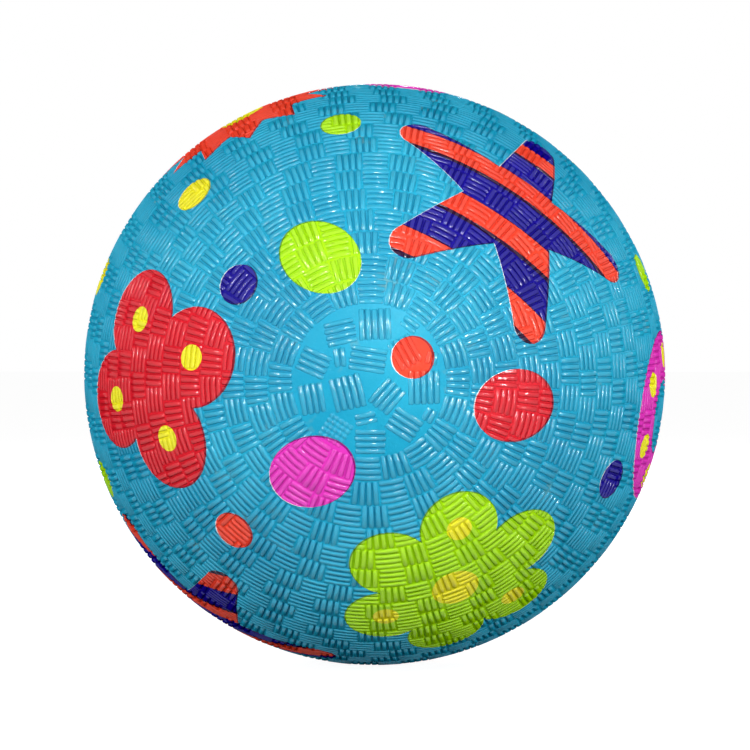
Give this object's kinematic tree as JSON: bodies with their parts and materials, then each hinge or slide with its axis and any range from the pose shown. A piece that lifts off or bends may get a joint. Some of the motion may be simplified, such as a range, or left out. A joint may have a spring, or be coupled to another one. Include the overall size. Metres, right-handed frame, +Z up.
{
  "type": "dodgeball",
  "caption": "Rubber playground dodgeball with a basket-weave cover, wound layer, butyl bladder and self-sealing needle valve, printed with stars, flowers and spots.",
  "frame": {"origin": "centre of the ball", "axes": "+Z up; +Y out of the needle valve; the plain pole without a valve looks along -Y"},
  "size_m": [0.2164, 0.2158, 0.2164],
  "materials": {
    "cover_rubber": "turquoise rubber, semi-gloss, moulded basket weave",
    "nylon_thread": "natural nylon thread in rubber cement",
    "butyl": "black butyl, matt",
    "valve_rubber": "dark grey rubber, matt",
    "core_rubber": "black rubber, satin",
    "navy_ink": "navy transfer ink, semi-gloss",
    "coral_ink": "coral transfer ink, semi-gloss",
    "lime_ink": "lime transfer ink, semi-gloss",
    "yellow_ink": "yellow transfer ink, semi-gloss",
    "red_ink": "red transfer ink, semi-gloss",
    "magenta_ink": "magenta transfer ink, semi-gloss"
  },
  "bodies": {
    "root": {"cover_front": "cover_rubber", "cover_back": "cover_rubber", "winding": "nylon_thread", "bladder_front": "butyl", "bladder_back": "butyl", "valve_seat": "valve_rubber", "valve_core": "core_rubber", "ink_navy": "navy_ink", "ink_coral": "coral_ink", "ink_lime": "lime_ink", "ink_yellow": "yellow_ink", "ink_red": "red_ink", "ink_magenta": "magenta_ink"}
  },
  "joints": []
}
